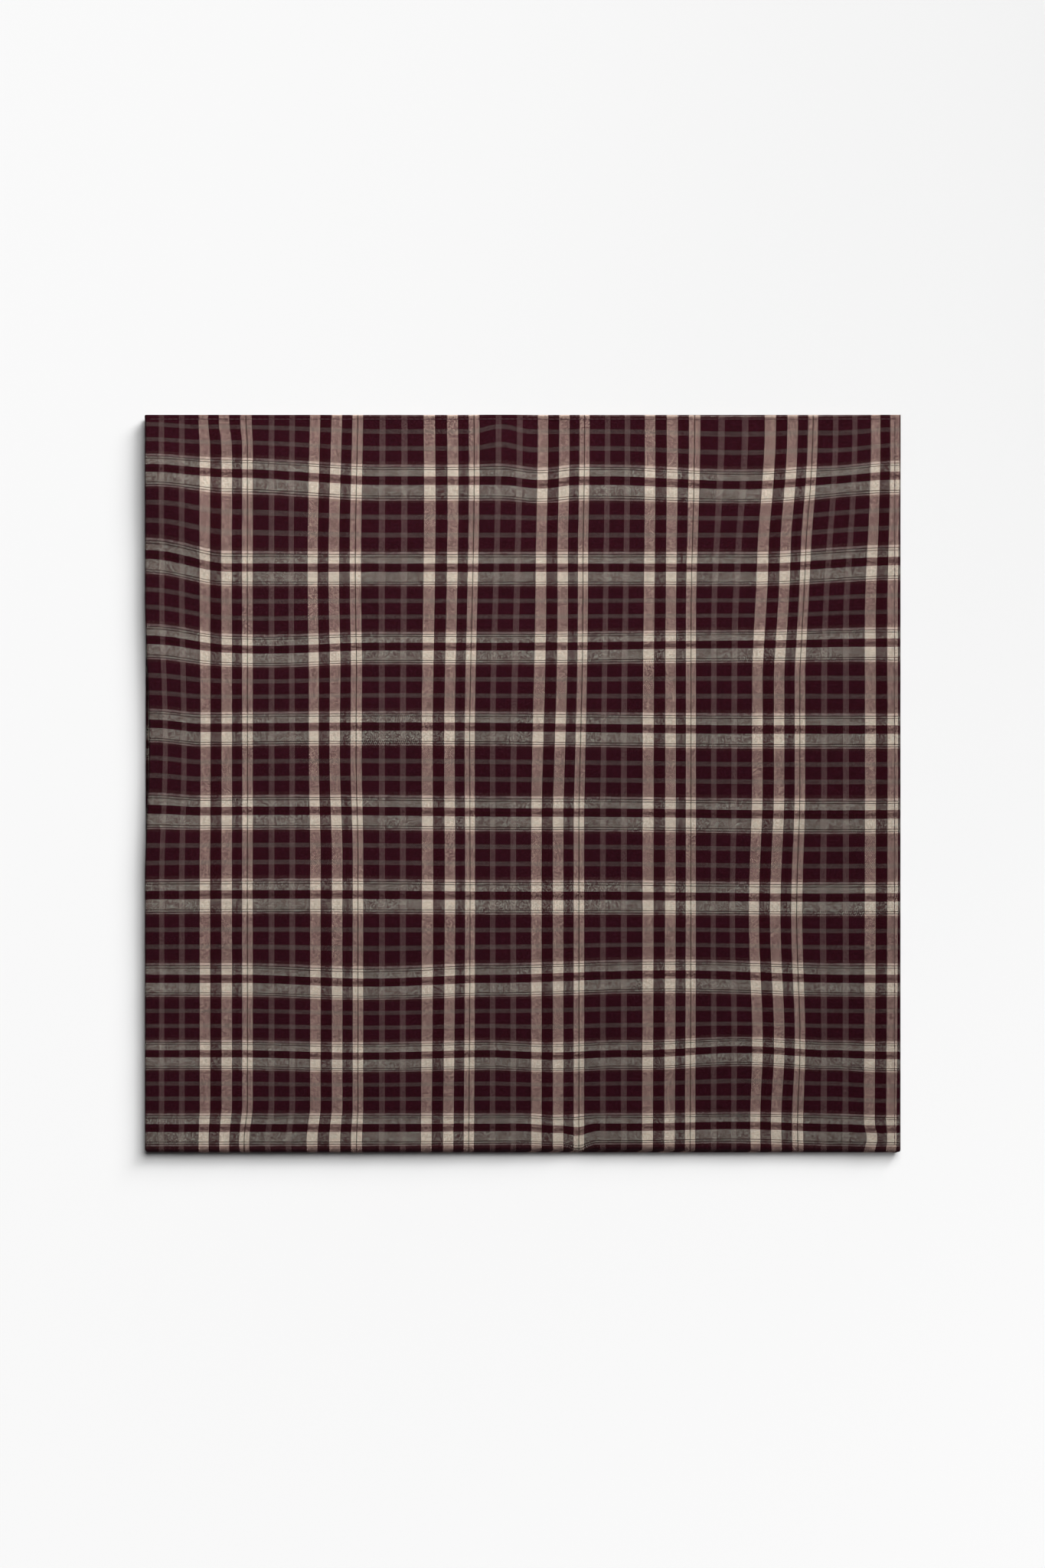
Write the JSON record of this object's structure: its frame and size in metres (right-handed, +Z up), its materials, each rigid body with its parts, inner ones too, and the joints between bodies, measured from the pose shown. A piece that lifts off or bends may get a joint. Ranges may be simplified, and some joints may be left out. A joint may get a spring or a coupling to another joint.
{
  "type": "folded bandana",
  "caption": "Square of brushed plaid cloth with narrow hems, folded into a flat layered pile; opened out, it is worn round the neck or head.",
  "frame": {"origin": "on the surface under the cloth, below the middle of the pile", "axes": "+X across the pile, away from the first fold and towards the right-hand hems; +Y up the pile, away from the second fold and towards the far hems; +Z up, through the layers"},
  "size_m": [0.35, 0.3416, 0.0076],
  "materials": {
    "cloth": "brushed cotton twill, woven in a dark red, cream and grey check, with a soft matt nap"
  },
  "bodies": {
    "root": {"bandana": "cloth"}
  },
  "joints": []
}
